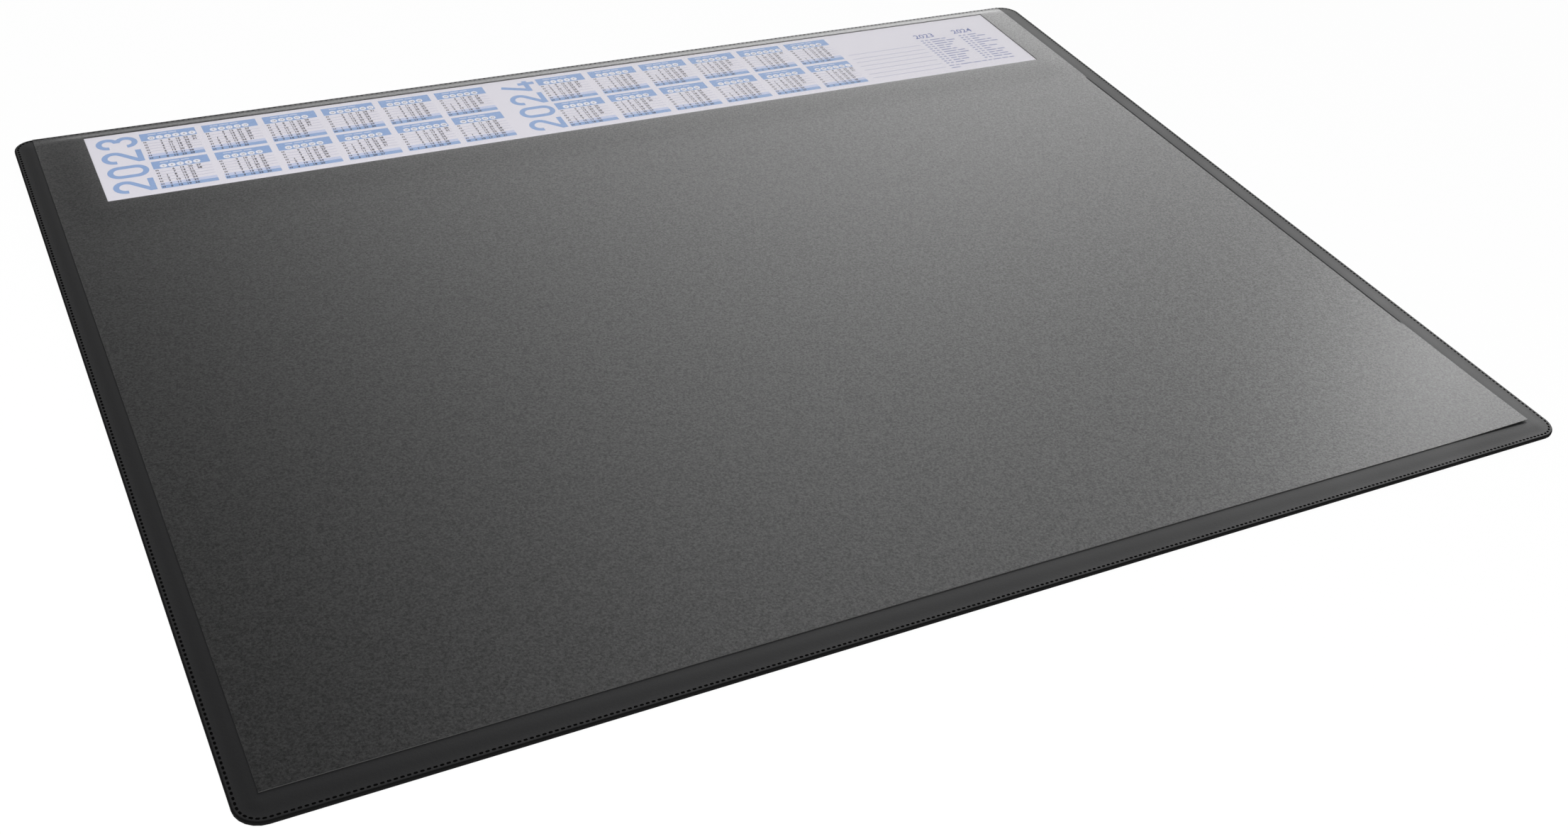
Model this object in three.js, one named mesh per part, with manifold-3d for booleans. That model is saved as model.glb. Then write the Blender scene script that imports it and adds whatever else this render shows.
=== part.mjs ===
// Desk pad calendar: a soft black desk mat with a pressed imitation-stitch seam, a loose printed
// calendar card along its far edge and a clear film over both, welded into the far seam.
// Millimetres, +Z up, +X along the long side, +Y towards the far edge. The origin is the centre
// of the underside, which lies flat on the desk.

import * as THREE from 'three';
import { mergeGeometries, mergeVertices } from 'three/addons/utils/BufferGeometryUtils.js';
import Module from 'manifold-3d';

const wasm = await Module();
wasm.setup();

// Mat in plan
const matLength = 650;
const matWidth = 520;
const cornerRadius = 11;
const cornerDivisions = 3; // the outline takes two steps for each

// Sheets that the mat is welded from
const foamThickness = 1.4;
const coverThickness = 0.6;

// Welded rim: insets are measured in from the cut edge, heights up from the desk
const foamEdgeHeight = 0.3;
const cutEdgeHeight = 0.55;
const lipInset = 0.4;
const lipHeight = 1.0;
const bandOuterInset = 0.9;
const bandInnerInset = 2.8;
const bandHeight = 1.3;
const shoulderInset = 3.8;
const shoulderDrop = 0.1; // from the writing field down to the shoulder's edge
const fieldInset = 4.6;
const foamShoulderInset = 4.2;

// Imitation stitches, pressed into the rim band
const stitchInset = 1.85;
const stitchLength = 1.65;
const stitchWidth = 1.0;
const coverStitchFloor = 0.16; // cover left under a stitch
const filmStitchFloor = 0.1; // film left under a stitch
const frontPitch = 2.47;
const sidePitch = 2.6;
const farPitch = 3.0;

// Clear film over the mat, loose on three sides
const filmThickness = 0.4;
const filmLeftMargin = 10.5;
const filmRightMargin = 12.4;
const filmFrontMargin = 13.8;
const filmWeldSetback = 0.1; // from the outer side of the rim band
const curlHeight = 1.0; // lift of the front right corner
const curlReach = 60; // along each edge from that corner
const curlSteps = 4;

// Printed card under the film
const cardThickness = 0.3;
const cardWidth = 72;
const cardLeftGap = 25.5; // in from the film's left edge
const cardRightGap = 17.3;
const cardFarGap = 3.8; // in front of the writing field's far edge
const cardClearance = 0.3; // from the card's edge to where the film begins to fall
const filmFall = 6; // stretch over which the film comes down from the card to the mat

// Worked out from the sizes above
const fieldHeight = foamThickness + coverThickness;
const foamBandHeight = bandHeight - coverThickness;
const coverStitchDepth = coverThickness - coverStitchFloor;
const filmStitchDepth = filmThickness - filmStitchFloor;
const film = {
  left: -matLength / 2 + filmLeftMargin,
  right: matLength / 2 - filmRightMargin,
  front: -matWidth / 2 + filmFrontMargin,
  far: matWidth / 2 - bandOuterInset - filmWeldSetback,
};
const cardFar = matWidth / 2 - fieldInset - cardFarGap;
const card = {
  left: film.left + cardLeftGap,
  right: film.right - cardRightGap,
  front: cardFar - cardWidth,
  far: cardFar,
};

// Solids

function geometryFrom(points, triangles) {
  const geometry = new THREE.BufferGeometry();
  geometry.setAttribute('position', new THREE.Float32BufferAttribute(points.flat(), 3));
  geometry.setIndex(triangles.flat());
  return geometry;
}

function solidFrom(geometry) {
  const bare = geometry.clone();
  bare.deleteAttribute('normal');
  bare.deleteAttribute('uv');
  const merged = mergeVertices(bare);
  return new wasm.Manifold(
    new wasm.Mesh({
      numProp: 3,
      vertProperties: merged.attributes.position.array,
      triVerts: new Uint32Array(merged.index.array),
    }),
  );
}

function geometryOf(solid) {
  const mesh = solid.getMesh();
  const geometry = new THREE.BufferGeometry();
  geometry.setAttribute('position', new THREE.BufferAttribute(mesh.vertProperties, 3));
  geometry.setIndex(new THREE.BufferAttribute(mesh.triVerts, 1));
  return geometry;
}

// The mat's outline, moved in by an inset
function outline(inset) {
  const x = matLength / 2 - cornerRadius;
  const y = matWidth / 2 - cornerRadius;
  const radius = cornerRadius - inset;
  const path = new THREE.Path();
  path.absarc(x, y, radius, 0, Math.PI / 2);
  path.absarc(-x, y, radius, Math.PI / 2, Math.PI);
  path.absarc(-x, -y, radius, Math.PI, 1.5 * Math.PI);
  path.absarc(x, -y, radius, 1.5 * Math.PI, 2 * Math.PI);
  return path.getPoints(cornerDivisions);
}

// A solid lofted through outlines at [inset, height], from its top face round its edge to its
// underside
function loftedSheet(profile) {
  const rings = profile.map(([inset, height]) => outline(inset).map((p) => [p.x, p.y, height]));
  const count = rings[0].length;
  const triangles = [];
  for (let ring = 0; ring < rings.length - 1; ring++) {
    for (let i = 0; i < count; i++) {
      const a = ring * count + i;
      const b = ring * count + ((i + 1) % count);
      triangles.push([a, a + count, b], [b, a + count, b + count]);
    }
  }
  const last = (rings.length - 1) * count;
  const face = rings[0].map(([x, y]) => new THREE.Vector2(x, y));
  for (const [a, b, c] of THREE.ShapeUtils.triangulateShape(face, [])) {
    triangles.push([a, b, c], [last + a, last + c, last + b]);
  }
  return geometryFrom(rings.flat(), triangles);
}

// Stitches

// One stitch's pit as a solid to cut away: a hipped trough, its mouth at z = 0 and its keel below
function stitchCutter(depth) {
  const above = depth; // how far the cutter stands over the surface that it cuts
  const spread = (stitchWidth / 2) * (above / depth);
  const x = stitchLength / 2 + spread;
  const y = stitchWidth / 2 + spread;
  const keel = (stitchLength - stitchWidth) / 2;
  const points = [
    [-x, -y, above],
    [x, -y, above],
    [x, y, above],
    [-x, y, above],
    [-keel, 0, -depth],
    [keel, 0, -depth],
  ];
  const triangles = [
    [0, 1, 2],
    [0, 2, 3],
    [0, 5, 1],
    [0, 4, 5],
    [2, 5, 4],
    [2, 4, 3],
    [1, 5, 2],
    [3, 4, 0],
  ];
  return geometryFrom(points, triangles);
}

// Stitches evenly spaced along a stretch, as near to the pitch as a whole number allows
function spaced(length, pitch) {
  const count = Math.round(length / pitch);
  return Array.from({ length: count }, (_, i) => (i + 0.5) / count);
}

// The whole row, as the place and direction of each stitch
function stitchRow() {
  const side = { x: matLength / 2 - cornerRadius, y: matWidth / 2 - cornerRadius };
  const row = { x: matLength / 2 - stitchInset, y: matWidth / 2 - stitchInset };
  const bend = cornerRadius - stitchInset;
  const along = (half, share) => half * (2 * share - 1);
  const stitches = [];
  for (const share of spaced(2 * side.x, frontPitch)) {
    stitches.push({ x: along(side.x, share), y: -row.y, turn: 0 });
  }
  for (const share of spaced(2 * side.x, farPitch)) {
    stitches.push({ x: along(side.x, share), y: row.y, turn: 0 });
  }
  for (const share of spaced(2 * side.y, sidePitch)) {
    stitches.push({ x: -row.x, y: along(side.y, share), turn: Math.PI / 2 });
    stitches.push({ x: row.x, y: along(side.y, share), turn: Math.PI / 2 });
  }
  for (const quarter of [0, 1, 2, 3]) {
    for (const share of spaced((bend * Math.PI) / 2, sidePitch)) {
      const angle = ((quarter + share) * Math.PI) / 2;
      stitches.push({
        x: Math.sign(Math.cos(angle)) * side.x + bend * Math.cos(angle),
        y: Math.sign(Math.sin(angle)) * side.y + bend * Math.sin(angle),
        turn: angle + Math.PI / 2,
      });
    }
  }
  return stitches;
}

// The film covers the far row between its side edges; a stitch that its edge would cross is left
// out of both sheets
function isUnderFilm(stitch) {
  return stitch.y > card.far && stitch.x > film.left && stitch.x < film.right;
}

function isClearOfFilmEdge(stitch) {
  const reach = stitchLength / 2;
  const gap = Math.min(Math.abs(stitch.x - film.left), Math.abs(stitch.x - film.right));
  return stitch.y < card.far || gap > reach;
}

function cutStitches(sheet, stitches, surface, depth) {
  const cutter = stitchCutter(depth);
  const cutters = stitches.map(({ x, y, turn }) => {
    const place = new THREE.Matrix4().makeRotationZ(turn).setPosition(x, y, surface);
    return cutter.clone().applyMatrix4(place);
  });
  return geometryOf(solidFrom(sheet).subtract(solidFrom(mergeGeometries(cutters))));
}

// Sub-parts

const rimUnderside = [
  [foamShoulderInset, foamThickness],
  [bandInnerInset, foamBandHeight],
  [bandOuterInset, foamBandHeight],
  [0, foamEdgeHeight],
];

// Non-slip foamed sheet that lies on the desk, pressed thin where the rim is welded
function makeFoamBase() {
  const geometry = loftedSheet([...rimUnderside, [0, 0]]);
  const material = new THREE.MeshStandardMaterial({ color: 0x2b2c2e, roughness: 0.95 });
  return new THREE.Mesh(geometry, material);
}

// Soft grained top sheet: flat writing field, shoulder, stitched band and rounded lip
function makeCoverSheet(stitches) {
  const sheet = loftedSheet([
    [fieldInset, fieldHeight],
    [shoulderInset, fieldHeight - shoulderDrop],
    [bandInnerInset, bandHeight],
    [bandOuterInset, bandHeight],
    [lipInset, lipHeight],
    [0, cutEdgeHeight],
    ...rimUnderside.toReversed(),
  ]);
  const own = stitches.filter((stitch) => isClearOfFilmEdge(stitch) && !isUnderFilm(stitch));
  const geometry = cutStitches(sheet, own, bandHeight, coverStitchDepth);
  const material = new THREE.MeshStandardMaterial({ color: 0x252627, roughness: 0.6 });
  return new THREE.Mesh(geometry, material);
}

// Loose calendar card, from its place on the writing field up
function makeCalendarCard() {
  const shape = new THREE.Shape();
  shape.moveTo(card.left, card.front);
  shape.lineTo(card.right, card.front);
  shape.lineTo(card.right, card.far);
  shape.lineTo(card.left, card.far);
  const geometry = new THREE.ExtrudeGeometry(shape, { depth: cardThickness, bevelEnabled: false });
  const material = new THREE.MeshStandardMaterial({ color: 0xdddbe2, roughness: 0.7 });
  return new THREE.Mesh(geometry, material);
}

// A share that rises from 0 to 1 between two places
function ramp(value, from, to) {
  return THREE.MathUtils.clamp((value - from) / (to - from), 0, 1);
}

// Height of the film's underside over the writing field: down into the rim band at the far seam,
// up over the card, flat on the mat elsewhere and curled up at the front right corner
function filmUnderside(x, y) {
  const inset = matWidth / 2 - y;
  const shoulder = shoulderDrop * (1 - ramp(inset, shoulderInset, fieldInset));
  const bandStep = fieldHeight - shoulderDrop - bandHeight;
  const band = bandStep * (1 - ramp(inset, bandInnerInset, shoulderInset));
  const overCard =
    ramp(x, card.left - cardClearance - filmFall, card.left - cardClearance) *
    ramp(x, card.right + cardClearance + filmFall, card.right + cardClearance) *
    ramp(y, card.front - cardClearance - filmFall, card.front - cardClearance) *
    ramp(y, matWidth / 2 - fieldInset, card.far + cardClearance);
  const fromCorner = (film.right - x + (y - film.front)) / curlReach;
  const curl = curlHeight * Math.max(0, 1 - fromCorner) ** 2;
  return cardThickness * overCard + curl - shoulder - band;
}

// Lines of the film's grid: its edges, each place where it bends and the steps of the curl
function filmLines() {
  const steps = Array.from({ length: curlSteps }, (_, i) => (curlReach * (i + 1)) / curlSteps);
  const lengthwise = [
    film.left,
    card.left - cardClearance - filmFall,
    card.left - cardClearance,
    card.right + cardClearance,
    card.right + cardClearance + filmFall,
    ...steps.map((step) => film.right - step),
    film.right,
  ];
  const crosswise = [
    film.front,
    ...steps.map((step) => film.front + step),
    card.front - cardClearance - filmFall,
    card.front - cardClearance,
    card.far + cardClearance,
    matWidth / 2 - fieldInset,
    matWidth / 2 - shoulderInset,
    matWidth / 2 - bandInnerInset,
    film.far,
  ];
  const inOrder = (lines) => lines.sort((a, b) => a - b);
  return [inOrder(lengthwise), inOrder(crosswise)];
}

function filmSheet() {
  const [xs, ys] = filmLines();
  const underside = ys.flatMap((y) => xs.map((x) => [x, y, filmUnderside(x, y)]));
  const top = underside.map(([x, y, z]) => [x, y, z + filmThickness]);
  const at = (column, row) => row * xs.length + column;
  const over = underside.length;
  const lastColumn = xs.length - 1;
  const lastRow = ys.length - 1;
  const triangles = [];
  const wall = (a, b) => triangles.push([a, b, b + over], [a, b + over, a + over]);
  for (let row = 0; row < lastRow; row++) {
    for (let column = 0; column < lastColumn; column++) {
      const [a, b] = [at(column, row), at(column + 1, row)];
      const [c, d] = [at(column + 1, row + 1), at(column, row + 1)];
      triangles.push([a, c, b], [a, d, c]);
      triangles.push([a + over, b + over, c + over], [a + over, c + over, d + over]);
    }
    wall(at(lastColumn, row), at(lastColumn, row + 1));
    wall(at(0, row + 1), at(0, row));
  }
  for (let column = 0; column < lastColumn; column++) {
    wall(at(column, 0), at(column + 1, 0));
    wall(at(column + 1, lastRow), at(column, lastRow));
  }
  return geometryFrom([...underside, ...top], triangles);
}

// Clear film with its own stitches in the far seam
function makeClearOverlay(stitches) {
  const bandTop = bandHeight - fieldHeight + filmThickness;
  const own = stitches.filter((stitch) => isClearOfFilmEdge(stitch) && isUnderFilm(stitch));
  const geometry = cutStitches(filmSheet(), own, bandTop, filmStitchDepth);
  const material = new THREE.MeshStandardMaterial({
    color: 0xd9dcdd,
    roughness: 0.45,
    transparent: true,
    opacity: 0.35,
  });
  return new THREE.Mesh(geometry, material);
}

// Assembly: the card and the film are placed from the height of the writing field

const stitches = stitchRow();
const deskPad = new THREE.Group();
const mat = new THREE.Group();
const onField = new THREE.Group();
onField.position.z = fieldHeight;
deskPad.add(mat, onField);

function place(group, name, mesh) {
  mesh.name = name;
  group.add(mesh);
}

place(mat, 'foam_base', makeFoamBase());
place(mat, 'cover_sheet', makeCoverSheet(stitches));
place(onField, 'calendar_card', makeCalendarCard());
place(onField, 'clear_overlay', makeClearOverlay(stitches));

export default deskPad;
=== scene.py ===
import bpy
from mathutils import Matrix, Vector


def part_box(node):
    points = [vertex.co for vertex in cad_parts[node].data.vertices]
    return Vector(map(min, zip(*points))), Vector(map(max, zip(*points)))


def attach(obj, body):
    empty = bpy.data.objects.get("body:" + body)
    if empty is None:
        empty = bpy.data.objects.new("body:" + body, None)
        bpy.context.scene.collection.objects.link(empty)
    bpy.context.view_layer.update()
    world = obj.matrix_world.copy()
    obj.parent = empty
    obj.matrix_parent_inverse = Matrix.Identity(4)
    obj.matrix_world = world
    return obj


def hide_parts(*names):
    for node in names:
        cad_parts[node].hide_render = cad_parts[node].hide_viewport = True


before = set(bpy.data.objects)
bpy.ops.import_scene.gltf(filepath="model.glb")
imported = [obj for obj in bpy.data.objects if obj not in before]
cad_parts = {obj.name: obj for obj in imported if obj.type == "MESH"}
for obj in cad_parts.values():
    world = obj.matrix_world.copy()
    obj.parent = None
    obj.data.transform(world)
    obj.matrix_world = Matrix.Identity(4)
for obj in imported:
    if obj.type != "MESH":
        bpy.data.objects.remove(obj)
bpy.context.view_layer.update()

import datetime
import math
import random

import bpy
import numpy as np
from mathutils import Euler, Matrix, Vector

# Lengths below are millimetres, and finished pieces are brought to metres at the end.
# Rows of values that belong to one piece stand with that piece.
MM = 0.001

# Places read from the solids
_, mat_high = (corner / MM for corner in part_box("foam_base"))
card_low, card_high = (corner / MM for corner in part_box("calendar_card"))
film_low, film_high = (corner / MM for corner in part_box("clear_overlay"))
FIELD_HEIGHT = card_low.z
CARD_THICKNESS = card_high.z - card_low.z

# Rim of the mat: insets from the cut edge and heights over the desk
CORNER_RADIUS = 11.0
CUT_EDGE_FOOT = 0.3
CUT_EDGE_TOP = 1.0
LIP_INSET = 0.9
LIP_STEPS = 4
EDGE_SHADE_LIP = 0.45  # the cut edge's painted shade reaches this far in over the lip
BAND_HEIGHT = 1.7
SHOULDER_FOOT = 2.8
SHOULDER_ROWS = (3.6, 4.4, 5.3, 6.2, 7.2, 8.3)
SHOULDER_TOP = 10.0
FIELD_INSET = 10.3
UNDERSIDE = ((4.2, 1.4), (2.8, 0.7), (LIP_INSET, 0.7), (0.0, CUT_EDGE_FOOT))  # inset, height

# Pressed imitation stitches
STITCH_LENGTH = 1.65
STITCH_WIDTH = 1.0
STITCH_DEPTH = 0.44
STITCH_INSET = 1.85  # from the cut edge to the stitch's middle
STITCH_BAND = 1.7
BAND_ROWS = (STITCH_INSET - STITCH_BAND / 2, STITCH_INSET + STITCH_BAND / 2)
STITCH_MARGIN = 0.25
MOUTH_ROUNDING = 0.3
CORNER_CUTS = (0.3, 0.5, 0.7)  # shares of a stitch's pitch at which it bends round a corner
PIT_STAGES = ((0.3, 0.97), (0.75, 0.86), (1.0, 0.6))  # share of the depth, share of the mouth
PIT_START = 0.02 * STITCH_DEPTH  # a face whose middle is deeper belongs to the pit
FRONT_PITCH = 2.47
SIDE_PITCH = 2.6
FAR_PITCH = 3.0

# Clear film
FILM_THICKNESS = 0.4
FILM_CLEARANCE = 0.03  # between the mat and the film
PRINT_ROOM = 0.12  # between the card and the film
DRAPE_START = 2.2  # from the card's edge to where the film begins to come down
DRAPE_SIDE = 23.0
DRAPE_FRONT = 30.0
DRAPE_STEPS = 5
FAR_FALL_START = 0.3
FAR_FALL_END = 5.6
CARD_MIDDLE = 30.0
FIELD_STEPS = 5
FIELD_STEP = 60.0
CURL_HEIGHT = 0.7
CURL_REACH = 60.0
CURL_STEP = 5.0
FRONT_SWING = 0.9  # the film's front edge is not quite square to its sides

# Material slots of the cover, and of the film. The cover's pit and cut-edge slots and the film's
# pit slot are painted darker, as painted shade.
PLAIN, PRESSED_PIT_SHADE, PAINTED_EDGE_SHADE = range(3)
CLEAR, CUT, WELDED_PIT_SHADE = range(3)

# Soft window that the film mirrors: its direction, how far its glow spreads and how strong it is
WINDOW_TURN = math.radians(40.0)
WINDOW_RISE = math.radians(5.5)
WINDOW_SPREAD = math.radians(51.2)
WINDOW_DIM = 0.1
WINDOW_GLOW = 2.66
# Dimmer bar across the window
WINDOW_BAR_TURN = math.radians(42.0)
WINDOW_BAR_RISE = math.radians(29.0)
WINDOW_BAR_SPREAD = math.radians(11.0)
WINDOW_BAR_LEFT = 0.2  # share of the glow that the bar leaves


def smooth(value, start, end):
    """A share that eases from 0 at the start to 1 at the end."""
    share = np.clip((value - start) / (end - start), 0.0, 1.0)
    return share * share * (3.0 - 2.0 * share)


# Modelling helpers
CREASE = math.radians(30.0)  # edges sharper than this stay sharp
WELD = 0.001
NEAR = 0.05
UPRIGHT = 0.5  # a face stands upright if its normal rises less than this


def deselect():
    bpy.ops.object.select_all(action="DESELECT")


def only(piece):
    deselect()
    piece.select_set(True)
    bpy.context.view_layer.objects.active = piece


def edit(piece, mode="FACE"):
    only(piece)
    bpy.ops.object.mode_set(mode="EDIT")
    bpy.ops.mesh.select_mode(type=mode)


def leave_edit():
    bpy.ops.object.mode_set(mode="OBJECT")


def join(pieces, name):
    """One object of many. Pieces that hold several materials carry them before they are joined."""
    deselect()
    for piece in pieces:
        piece.select_set(True)
    bpy.context.view_layer.objects.active = pieces[0]
    bpy.ops.object.join()
    pieces[0].name = name
    pieces[0].data.name = name
    return pieces[0]


def copied(piece, move=(0.0, 0.0, 0.0)):
    """A copy with a mesh of its own, moved in its mesh."""
    twin = piece.copy()
    twin.data = piece.data.copy()
    twin.data.transform(Matrix.Translation(move))
    bpy.context.scene.collection.objects.link(twin)
    return twin


def rectangle(low, high, height=0.0):
    bpy.ops.mesh.primitive_plane_add(size=1)
    piece = bpy.context.object
    centre = ((low[0] + high[0]) / 2, (low[1] + high[1]) / 2, height)
    size = (high[0] - low[0], high[1] - low[1], 1.0, 1.0)
    piece.data.transform(Matrix.Translation(centre) @ Matrix.Diagonal(size))
    return piece


def repeated(piece, count, step):
    """An array of the piece along one step, its meeting edges merged."""
    only(piece)
    array = piece.modifiers.new("repeat", "ARRAY")
    array.count = count
    array.use_relative_offset = False
    array.use_constant_offset = True
    array.constant_offset_displace = step
    array.use_merge_vertices = True
    array.merge_threshold = WELD
    bpy.ops.object.modifier_apply(modifier=array.name)
    return piece


def points_of(piece):
    flat = np.empty(len(piece.data.vertices) * 3)
    piece.data.vertices.foreach_get("co", flat)
    return flat.reshape(-1, 3)


def set_points(piece, points):
    piece.data.vertices.foreach_set("co", np.asarray(points).ravel())
    piece.data.update()


def wear(piece, materials):
    for material in materials:
        piece.data.materials.append(material)


def finished(piece):
    """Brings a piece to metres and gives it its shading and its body."""
    piece.data.transform(Matrix.Scale(MM, 4))
    only(piece)
    bpy.ops.object.shade_smooth_by_angle(angle=CREASE)
    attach(piece, "root")


# Materials

def new_material(name, colour, roughness):
    material = bpy.data.materials.new(name)
    material.use_nodes = True
    shader = material.node_tree.nodes["Principled BSDF"]
    shader.inputs["Base Color"].default_value = (*colour, 1.0)
    shader.inputs["Roughness"].default_value = roughness
    return material, material.node_tree, shader


def millimetres(tree):
    """The place on the piece in millimetres, so that noise scales are in steps a millimetre."""
    place = tree.nodes.new("ShaderNodeTexCoord")
    mapping = tree.nodes.new("ShaderNodeMapping")
    mapping.inputs["Scale"].default_value = (1.0 / MM, 1.0 / MM, 1.0 / MM)
    tree.links.new(place.outputs["Object"], mapping.inputs["Vector"])
    return mapping.outputs["Vector"]


def noise(tree, vector, scale, detail=2.0, roughness=0.5):
    node = tree.nodes.new("ShaderNodeTexNoise")
    node.inputs["Scale"].default_value = scale
    node.inputs["Detail"].default_value = detail
    node.inputs["Roughness"].default_value = roughness
    tree.links.new(vector, node.inputs["Vector"])
    return node.outputs["Fac"]


def feed(tree, source, socket):
    """Gives a socket a number, or what another node puts out."""
    if isinstance(source, float):
        socket.default_value = source
    else:
        tree.links.new(source, socket)


def spread(tree, value, low, high):
    """The value from 0 to 1 turned into one from low to high."""
    node = tree.nodes.new("ShaderNodeMapRange")
    node.inputs["To Min"].default_value = low
    node.inputs["To Max"].default_value = high
    tree.links.new(value, node.inputs["Value"])
    return node.outputs["Result"]


def tint(tree, value, dark, light):
    """A colour that goes from the dark one to the light one with the value."""
    node = tree.nodes.new("ShaderNodeMix")
    node.data_type = "RGBA"
    node.inputs["A"].default_value = (*dark, 1.0)
    node.inputs["B"].default_value = (*light, 1.0)
    tree.links.new(value, node.inputs["Factor"])
    return node.outputs["Result"]


def blend(tree, value, first, second):
    """A number that goes from the first to the second with the value."""
    node = tree.nodes.new("ShaderNodeMix")
    feed(tree, value, node.inputs["Factor"])
    feed(tree, first, node.inputs["A"])
    feed(tree, second, node.inputs["B"])
    return node.outputs["Result"]


def times(tree, first, second):
    node = tree.nodes.new("ShaderNodeMath")
    node.operation = "MULTIPLY"
    feed(tree, first, node.inputs[0])
    feed(tree, second, node.inputs[1])
    return node.outputs["Value"]


def within(tree, value, low, high, edge):
    """1 between two lengths and 0 outside them, with a soft edge."""
    sides = []
    for start, end in ((low - edge, low), (high + edge, high)):
        side = tree.nodes.new("ShaderNodeMapRange")
        side.interpolation_type = "SMOOTHSTEP"
        side.inputs["From Min"].default_value = min(start, end)
        side.inputs["From Max"].default_value = max(start, end)
        if start > end:
            side.inputs["To Min"].default_value = 1.0
            side.inputs["To Max"].default_value = 0.0
        tree.links.new(value, side.inputs["Value"])
        sides.append(side.outputs["Result"])
    return times(tree, *sides)


def bump(tree, height, depth, strength):
    """A relief so many millimetres deep."""
    node = tree.nodes.new("ShaderNodeBump")
    node.inputs["Strength"].default_value = strength
    node.inputs["Distance"].default_value = depth * MM
    tree.links.new(height, node.inputs["Height"])
    return node.outputs["Normal"]


def cover_plastic():
    """Black soft plastic: a fine leather-like grain with faint cloudy wear."""
    material, tree, shader = new_material("grained_black_plastic", (0.008, 0.008, 0.009), 0.5)
    place = millimetres(tree)
    cells = tree.nodes.new("ShaderNodeTexVoronoi")
    cells.feature = "SMOOTH_F1"
    cells.inputs["Scale"].default_value = 1.1
    tree.links.new(place, cells.inputs["Vector"])
    fine = noise(tree, place, 2.6, detail=3.0)
    mix = tree.nodes.new("ShaderNodeMath")
    mix.operation = "MULTIPLY_ADD"
    mix.inputs[1].default_value = 0.6
    tree.links.new(cells.outputs["Distance"], mix.inputs[0])
    tree.links.new(fine, mix.inputs[2])
    tree.links.new(bump(tree, mix.outputs["Value"], 0.04, 0.6), shader.inputs["Normal"])
    clouds = noise(tree, place, 0.02, detail=3.0)
    tree.links.new(spread(tree, clouds, 0.4, 0.52), shader.inputs["Roughness"])
    shade = tint(tree, fine, (0.003, 0.003, 0.0035), (0.009, 0.009, 0.0095))
    tree.links.new(shade, shader.inputs["Base Color"])
    return material


def pressed_plastic():
    """The same plastic in the stitch pits: dull where the welding tool pressed it, and darker as
    painted shade in the pits.
    """
    material, tree, shader = new_material("pressed_plastic_painted_pit_shade", (0.002, 0.002, 0.002), 0.9)
    shader.inputs["Specular IOR Level"].default_value = 0.05
    place = millimetres(tree)
    fine = noise(tree, place, 3.0)
    tree.links.new(bump(tree, fine, 0.03, 0.5), shader.inputs["Normal"])
    return material


def cut_edge():
    """Cut rim and unseen back of the plastic: dull, and darker than the cover as painted shade."""
    material, tree, shader = new_material("cut_edge_painted_shade", (0.004, 0.004, 0.004), 0.8)
    shader.inputs["Specular IOR Level"].default_value = 0.12
    place = millimetres(tree)
    fine = noise(tree, place, 2.0)
    tree.links.new(bump(tree, fine, 0.05, 0.6), shader.inputs["Normal"])
    return material


def foam_rubber():
    """Dark foamed underside: a dimpled, dull, non-slip skin, its pores darker at their bottoms as
    painted shade.
    """
    material, tree, shader = new_material("foamed_underside", (0.03, 0.03, 0.032), 0.9)
    shader.inputs["Specular IOR Level"].default_value = 0.15
    place = millimetres(tree)
    pores = tree.nodes.new("ShaderNodeTexVoronoi")
    pores.inputs["Scale"].default_value = 0.55
    tree.links.new(place, pores.inputs["Vector"])
    tree.links.new(bump(tree, pores.outputs["Distance"], 0.25, 0.8), shader.inputs["Normal"])
    # Darker where the pores dip: painted shade in the pores
    shade = tint(tree, pores.outputs["Distance"], (0.010, 0.010, 0.011), (0.03, 0.03, 0.032))
    tree.links.new(shade, shader.inputs["Base Color"])
    return material


# How much the film mirrors straight on, and how much of it shows over the black cover and the card
FILM_MIRRORS = 0.088
SHOWN_OVER_BLACK = 0.9
SHOWN_OVER_CARD = 0.3
CARD_EDGE = 0.4


def clear_film():
    """Matt clear film with a fine grain.

    Over the black cover it shows little but its soft mirroring, so it is nearly a solid dark mirror
    there, and over the card it lets the print through."""
    material, tree, shader = new_material("matt_clear_film", (0.88, 0.88, 0.88), 0.36)
    shader.inputs["Metallic"].default_value = 1.0
    place = millimetres(tree)
    grain = noise(tree, place, 1.0, detail=3.0, roughness=0.7)
    sparkle = tree.nodes.new("ShaderNodeMapRange")
    sparkle.inputs["From Min"].default_value = 0.34
    sparkle.inputs["From Max"].default_value = 0.66
    tree.links.new(grain, sparkle.inputs["Value"])
    glint = sparkle.outputs["Result"]
    tree.links.new(bump(tree, grain, 0.1, 0.7), shader.inputs["Normal"])
    tree.links.new(spread(tree, glint, 0.32, 0.4), shader.inputs["Roughness"])
    facing = tree.nodes.new("ShaderNodeLayerWeight")
    facing.inputs["Blend"].default_value = 0.5
    edge_on = tree.nodes.new("ShaderNodeMath")
    edge_on.operation = "POWER"
    edge_on.inputs[1].default_value = 5.0
    tree.links.new(facing.outputs["Facing"], edge_on.inputs[0])
    mirrors = spread(tree, edge_on.outputs["Value"], FILM_MIRRORS, 1.0)
    split = tree.nodes.new("ShaderNodeSeparateXYZ")
    tree.links.new(place, split.inputs["Vector"])
    along = within(tree, split.outputs["X"], card_low.x, card_high.x, CARD_EDGE)
    across = within(tree, split.outputs["Y"], card_low.y, card_high.y, CARD_EDGE)
    on_card = times(tree, along, across)
    over_black = times(tree, mirrors, spread(tree, glint, 0.8, 1.7))
    over_card = spread(tree, glint, 0.25, 1.0)
    tree.links.new(blend(tree, on_card, over_black, over_card), shader.inputs["Base Color"])
    shown_over_card = times(tree, mirrors, SHOWN_OVER_CARD)
    shown = blend(tree, on_card, SHOWN_OVER_BLACK, shown_over_card)
    tree.links.new(shown, shader.inputs["Alpha"])
    return material


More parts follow.
